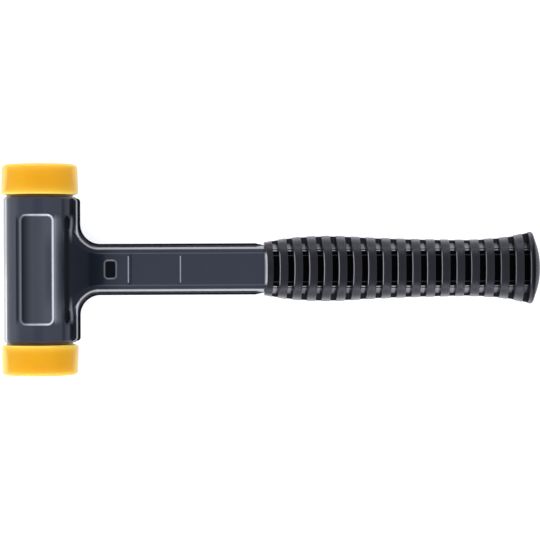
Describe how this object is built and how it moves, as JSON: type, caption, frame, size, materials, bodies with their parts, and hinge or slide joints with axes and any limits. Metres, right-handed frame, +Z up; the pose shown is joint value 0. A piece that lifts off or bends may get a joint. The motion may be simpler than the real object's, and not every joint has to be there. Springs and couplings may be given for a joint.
{
  "type": "soft face hammer",
  "caption": "Soft face hammer that does not bounce back: welded sheet-steel housing with loose shot in the head, pull-out amber striking faces and a ribbed rubber grip.",
  "frame": {"origin": "on the ground under the middle of the hammer's length and of the head's length, with the hammer lying on its side", "axes": "+X along the handle from the head towards the butt, +Y along the head's axis towards the upper striking face, +Z up through the broad side of the shank"},
  "size_m": [0.351, 0.137, 0.05],
  "materials": {
    "slate_paint": "gloss",
    "amber_plastic": "satin",
    "bare_steel": "satin",
    "black_rubber": "matte"
  },
  "bodies": {
    "housing": {"near_half_shell": "slate_paint", "far_half_shell": "slate_paint", "shot_tube": "bare_steel", "upper_tube_cap": "bare_steel", "lower_tube_cap": "bare_steel", "grip_sleeve": "black_rubber"},
    "shot": {"shot_charge": "bare_steel"},
    "upper_face": {"upper_striking_face": "amber_plastic"},
    "lower_face": {"lower_striking_face": "amber_plastic"}
  },
  "joints": [
    {"name": "shot_travel", "type": "slide", "parent": "housing", "child": "shot", "axis": [0, 1, 0], "range_m": [-0.0092, 0.0092]},
    {"name": "upper_face_pull", "type": "slide", "parent": "housing", "child": "upper_face", "axis": [0, 1, 0], "range_m": [0, 0.016]},
    {"name": "lower_face_pull", "type": "slide", "parent": "housing", "child": "lower_face", "axis": [0, -1, 0], "range_m": [0, 0.016]}
  ]
}
